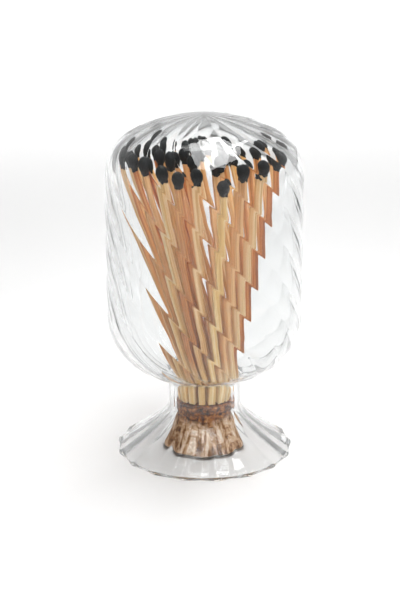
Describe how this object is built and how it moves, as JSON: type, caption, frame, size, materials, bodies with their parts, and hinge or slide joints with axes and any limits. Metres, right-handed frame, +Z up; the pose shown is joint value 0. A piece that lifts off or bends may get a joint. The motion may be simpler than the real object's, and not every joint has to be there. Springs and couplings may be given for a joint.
{
  "type": "match striker",
  "caption": "Blown glass match holder: a swirl-ribbed dome on a fluted foot, closed from below by a cork with a striking pad, full of long wooden matches.",
  "frame": {"origin": "centre of the ring that the foot rests on, at the level of the surface under it", "axes": "+Z up along the glass's axis, +X to the right as seen from the picture's side, -Y towards the viewer"},
  "size_m": [0.0824, 0.0824, 0.1467],
  "materials": {
    "clear_glass": "clear, hand-blown, with swirled optic ribs",
    "cork": "natural cork with its bark side out",
    "match_wood": "bare sawn poplar",
    "match_head": "dull black dipped match compound",
    "striking_paper": "dark gritty striking coat"
  },
  "bodies": {
    "glass": {"glass_cloche": "clear_glass", "inner_match_sticks": "match_wood", "inner_match_heads": "match_head", "match_01_stick": "match_wood", "match_01_head": "match_head", "match_02_stick": "match_wood", "match_02_head": "match_head", "match_03_stick": "match_wood", "match_03_head": "match_head", "match_04_stick": "match_wood", "match_04_head": "match_head", "match_05_stick": "match_wood", "match_05_head": "match_head", "match_06_stick": "match_wood", "match_06_head": "match_head", "match_07_stick": "match_wood", "match_07_head": "match_head", "match_08_stick": "match_wood", "match_08_head": "match_head", "match_09_stick": "match_wood", "match_09_head": "match_head", "match_10_stick": "match_wood", "match_10_head": "match_head", "match_11_stick": "match_wood", "match_11_head": "match_head", "match_12_stick": "match_wood", "match_12_head": "match_head", "match_13_stick": "match_wood", "match_13_head": "match_head", "match_14_stick": "match_wood", "match_14_head": "match_head", "match_15_stick": "match_wood", "match_15_head": "match_head", "match_16_stick": "match_wood", "match_16_head": "match_head", "match_17_stick": "match_wood", "match_17_head": "match_head", "match_18_stick": "match_wood", "match_18_head": "match_head", "match_19_stick": "match_wood", "match_19_head": "match_head", "match_20_stick": "match_wood", "match_20_head": "match_head", "match_21_stick": "match_wood", "match_21_head": "match_head", "match_22_stick": "match_wood", "match_22_head": "match_head", "match_23_stick": "match_wood", "match_23_head": "match_head", "match_24_stick": "match_wood", "match_24_head": "match_head", "match_25_stick": "match_wood", "match_25_head": "match_head", "match_26_stick": "match_wood", "match_26_head": "match_head", "match_27_stick": "match_wood", "match_27_head": "match_head"},
    "cork": {"cork_stopper": "cork", "striker_pad": "striking_paper"}
  },
  "joints": [
    {"name": "cork_pull", "type": "slide", "parent": "glass", "child": "cork", "axis": [0, 0, -1], "range_m": [0, 0.026]}
  ]
}
